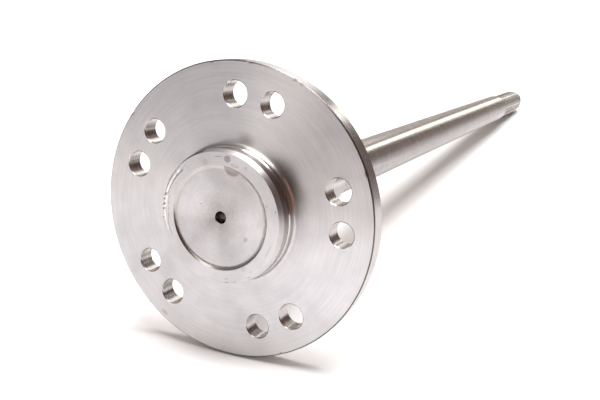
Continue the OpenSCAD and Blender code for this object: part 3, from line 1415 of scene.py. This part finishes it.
def finishes() -> dict[Zone, Finish]:
    """Sets the finish of each zone.

    Returns:
        The finishes.
    """
    steel = (0.513, 0.493, 0.494)
    bar = (0.45, 0.43, 0.42)
    half_moon = StainOrPaintedLight(75, 26.6, 4.2, 5.0, 0.6)
    # Painted shade: a dark crescent on the lead's left side, along the pilot's far edge.
    painted_shade_crescent = trail(
        tuple((angle, 33.8) for angle in range(112, 155, 7)),
        1.6, 5.0, 0.7, blur=0.8, colour=(0.10, 0.08, 0.07))
    # Painted shade on the right side of the recess's wall.
    painted_wall_shade = trail(
        tuple((angle, 25.9) for angle in (-22, -6, 10, 26, 42, 56)),
        1.5, 9.0, 0.5, blur=0.7, colour=(0.10, 0.09, 0.085), matte=0.5)
    return {
        Zone.FACED: Finish(
            "faced_steel", steel, roughness=0.32, anisotropy=0.83, mark_pitch=0.9, mark_tone=0.04,
            mark_depth=0.0015, run=2.2, edge_ring=48.0, stains_and_painted_light=face_stains_and_shade()),
        Zone.RIM: Finish(
            "rim_steel", steel, roughness=0.26, anisotropy=0.7, mark_pitch=0.5, mark_tone=0.04,
            mark_depth=0.004),
        # A lighter copy of the steel, painted highlight: it brightens the lands' reflections.
        Zone.LAND: Finish(
            "land_steel", (0.56, 0.545, 0.535), roughness=0.18, anisotropy=0.75, mark_pitch=0.35,
            mark_tone=0.04, mark_depth=0.002),
        Zone.PILOT_FACE: Finish(
            "pilot_face_steel", steel, roughness=0.34, anisotropy=0.75, mark_pitch=0.8, mark_tone=0.03,
            mark_depth=0.0015, stains_and_painted_light=pilot_stains_and_painted_light()),
        Zone.RECESS: Finish(
            "recess_steel", steel, roughness=0.35, anisotropy=0.75, mark_pitch=0.7, mark_tone=0.03,
            mark_depth=0.0015, cloud=0.08, stains_and_painted_light=(*recess_stains_and_shade(), half_moon)),
        Zone.GROUND: Finish(
            "ground_steel", steel, roughness=0.18, anisotropy=0.6, mark_pitch=0.25, mark_tone=0.02,
            mark_depth=0.001),
        Zone.BAR: Finish(
            "bar_steel", bar, roughness=0.25, anisotropy=0.35, mark_pitch=0.5, mark_tone=0.10,
            mark_depth=0.0003, cloud=0.06, run=1.5),
        Zone.SPLINE: Finish(
            "hobbed_steel", bar, roughness=0.30, anisotropy=0.2, mark_pitch=0.8, mark_tone=0.04,
            mark_depth=0.003),
        Zone.DRILLED: Finish(
            "drilled_steel", (0.47, 0.445, 0.43), roughness=0.26, anisotropy=0.0, mark_pitch=0.7,
            mark_tone=0.10, mark_depth=0.012, bored=True),
        # A lighter copy of the steel, painted highlight: it brightens the lead cone.
        Zone.LEAD: Finish(
            "lead_steel", (0.68, 0.66, 0.66), roughness=0.50, anisotropy=0.93, mark_pitch=0.5,
            mark_tone=0.02, mark_depth=0.0, stains_and_painted_light=painted_shade_crescent),
        Zone.RECESS_WALL: Finish(
            "recess_wall_steel", (0.40, 0.375, 0.36), roughness=0.24, anisotropy=0.5, mark_pitch=0.7,
            mark_tone=0.03, mark_depth=0.001, stains_and_painted_light=(half_moon, *painted_wall_shade)),
        # A dark copy of the steel, painted shade: it hides the chamfer's highlight and draws a dark line
        # along the flange's edge.
        Zone.CHAMFER: Finish(
            "chamfer_steel", (0.15, 0.138, 0.13), roughness=0.40, anisotropy=0.5, mark_pitch=0.5,
            mark_tone=0.04, mark_depth=0.002),
    }


@dataclass(frozen=True)
class Card:
    """A card that shows only in the steel's reflections, on a ball round the flange.

    Azimuth is counted to the right of the shaft's far end, elevation up from level, both in degrees.
    """

    name: str
    azimuths: tuple[float, float]
    elevations: tuple[float, float]
    glow: Colour
    distance: float = 3.0
    facets: int = 8

    def corners(self) -> tuple[list[Vector], list[Face]]:
        """Sets out the card.

        Returns:
            Its points and its faces.
        """
        rows = self.facets + 1
        points = []
        for lift in np.radians(np.linspace(*self.elevations, rows)):
            for turn in np.radians(np.linspace(*self.azimuths, rows)):
                level = math.cos(lift)
                heading = Vector((math.sin(turn) * level, math.cos(turn) * level, math.sin(lift)))
                points.append(SHAFT.centre + heading * self.distance)
        return points, grid_faces(rows, rows)


@dataclass(frozen=True)
class FloorCard:
    """A card that lies on the floor and shows only in the steel's reflections."""

    name: str
    outline: tuple[tuple[float, float], ...]
    glow: Colour
    lift: float = 0.001

    def corners(self) -> tuple[list[tuple[float, float, float]], list[Face]]:
        """Returns the points of the card and its one face."""
        return [(x, y, self.lift) for x, y in self.outline], [tuple(range(len(self.outline)))]


BOX_GLOW = (2.7, 2.66, 2.58)


@dataclass
class Studio:
    """The pale floor, the soft light, the cards and the camera."""

    floor_reach: float = 120.0
    floor_colour: Colour = (0.86, 0.855, 0.85)
    floor_roughness: float = 0.9
    sky_colour: Colour = (0.56, 0.505, 0.475)
    sun_power: float = 3.85
    sun_tilt: float = 8.0
    sun_spread: float = 40.0
    camera_place: tuple[float, float, float] = (0.194343, -0.699523, 0.203645)
    camera_azimuth: float = 25.269
    camera_fall: float = 17.344
    lens: float = 47.525
    sensor_width: float = 36.0
    clip_start: float = 0.01
    cards: tuple[Card, ...] = (
        Card("right_low_wall", (9, 23), (-2, 7), (0.38, 0.31, 0.28)),
        Card("right_grey", (9, 23), (7, 45), (0.27, 0.21, 0.185)),
        Card("right_dark", (23, 100), (-2, 45), (0.14, 0.09, 0.075)),
        Card("back_strip", (-1.5, 5.5), (4, 14.5), (3.2, 3.1, 2.8), 2.9),
        Card("rim_strip", (3, 10.5), (14.5, 20), (6.0, 5.85, 5.4), 2.9),
        Card("back_left_box", (-30, -3), (16, 45), (2.2, 2.16, 2.08), 2.9),
        Card("back_left_wall", (-60, 9), (-2, 16), (0.39, 0.325, 0.28)),
        Card("front_box", (186, 206), (15.5, 62), BOX_GLOW, 2.8),
        Card("front_high_box", (206, 213), (38, 62), BOX_GLOW, 2.8),
        Card("front_top_box", (149, 186), (55, 70), BOX_GLOW, 2.8),
        Card("front_dark", (100, 186), (-2, 55), (0.12, 0.06, 0.045)),
        Card("front_low_wall", (186, 206), (-2, 15.5), (0.20, 0.16, 0.17)),
        Card("front_left_wall", (206, 300), (-2, 45), (0.32, 0.305, 0.325)),
    )
    floor_cards: tuple[FloorCard, ...] = (
        FloorCard(
            "right_floor", ((0.22, 0.20), (0.35, 0.05), (3.0, 0.05), (3.0, 3.0), (0.20, 3.0)),
            (0.50, 0.45, 0.44)),
        FloorCard(
            "bar_floor", ((0.02, -0.25), (0.09, -0.25), (0.09, 0.30), (0.075, 0.60), (0.03, 0.60)),
            (1.08, 1.03, 1.03)),
        FloorCard(
            "bar_far_floor",
            ((0.09, 0.02), (0.17, 0.02), (0.22, 0.20), (0.20, 3.0), (0.03, 3.0), (0.03, 0.60),
             (0.075, 0.60), (0.09, 0.30)),
            (0.72, 0.67, 0.66)),
        FloorCard(
            "front_floor", ((0.12, -3.0), (1.2, -3.0), (1.2, -0.70), (0.12, -0.80)),
            (0.24, 0.18, 0.155)),
        FloorCard(
            "near_floor", ((-1.2, -0.72), (0.10, -0.72), (0.10, -0.42), (-1.2, -0.42)),
            (1.9, 1.87, 1.91)),
    )

    def build(self) -> None:
        """Builds the floor, the light, the cards and the camera."""
        self.floor()
        self.sky()
        self.overhead()
        for card in (*self.cards, *self.floor_cards):
            self.hang(card)
        self.camera()

    def sheet(self, name: str, points: list[Any], faces: list[Face]) -> bpy.types.Object:
        """Makes one sheet of the studio, with a material of its own.

        Args:
            name: Its name and its material's.
            points: Its points.
            faces: Its faces.

        Returns:
            The sheet's object.
        """
        material = bpy.data.materials.new(name)
        material.use_nodes = True
        mesh = bpy.data.meshes.new(name)
        mesh.from_pydata(points, [], faces)
        mesh.materials.append(material)
        made = bpy.data.objects.new(name, mesh)
        bpy.context.scene.collection.objects.link(made)
        return made

    def floor(self) -> None:
        """Lays the pale floor."""
        reach = self.floor_reach
        signs = ((-1, -1), (1, -1), (1, 1), (-1, 1))
        corners = [(x * reach, y * reach, 0.0) for x, y in signs]
        sheet = self.sheet("floor", corners, [(0, 1, 2, 3)])
        shader = sheet.active_material.node_tree.nodes["Principled BSDF"].inputs
        shader["Base Color"].default_value = (*self.floor_colour, 1.0)
        shader["Roughness"].default_value = self.floor_roughness
        shader["Specular IOR Level"].default_value = 0.0

    def hang(self, card: Card | FloorCard) -> None:
        """Hangs a card where only reflections see it.

        Args:
            card: The card.
        """
        sheet = self.sheet(card.name, *card.corners())
        graph = Graph(sheet.active_material.node_tree)
        graph.tree.nodes.clear()
        light = graph.node("ShaderNodeEmission", {"Color": (*card.glow, 1.0)})
        graph.node("ShaderNodeOutputMaterial", {"Surface": light.outputs[0]})
        sheet.visible_camera = False
        sheet.visible_diffuse = False
        sheet.visible_shadow = False

    def sky(self) -> None:
        """Fills the room with dim, slightly warm light."""
        world = bpy.data.worlds.new("room")
        world.use_nodes = True
        world.node_tree.nodes["Background"].inputs["Color"].default_value = (*self.sky_colour, 1.0)
        bpy.context.scene.world = world

    def overhead(self) -> None:
        """Hangs the broad soft light over the shaft."""
        light = bpy.data.lights.new("overhead", "SUN")
        light.energy = self.sun_power
        light.angle = math.radians(self.sun_spread)
        lamp = bpy.data.objects.new("overhead", light)
        lamp.rotation_euler = (0.0, math.radians(self.sun_tilt), 0.0)
        bpy.context.scene.collection.objects.link(lamp)

    def camera(self) -> None:
        """Sets the camera to the photograph's view."""
        data = bpy.data.cameras.new("camera")
        data.lens = self.lens
        data.sensor_width = self.sensor_width
        data.sensor_fit = "HORIZONTAL"
        data.clip_start = self.clip_start
        camera = bpy.data.objects.new("camera", data)
        camera.location = self.camera_place
        camera.rotation_euler = (
            math.radians(90.0 - self.camera_fall), 0.0, math.radians(self.camera_azimuth))
        bpy.context.scene.collection.objects.link(camera)
        bpy.context.scene.camera = camera


def main() -> None:
    """Builds the shaft and the studio."""
    logging.basicConfig(level=logging.INFO, format="%(name)s: %(message)s")
    materials = {zone: FinishTree(finish, SHAFT).material for zone, finish in finishes().items()}
    piece = AxleShaft(SHAFT, materials).build()
    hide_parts("axle_shaft")
    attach(piece, "root")
    LOG.info("%s: %d faces", piece.name, len(piece.data.polygons))
    Studio().build()
    bpy.context.scene.view_settings.view_transform = "Standard"
    bpy.context.view_layer.update()


if __name__ == "__main__":
    main()
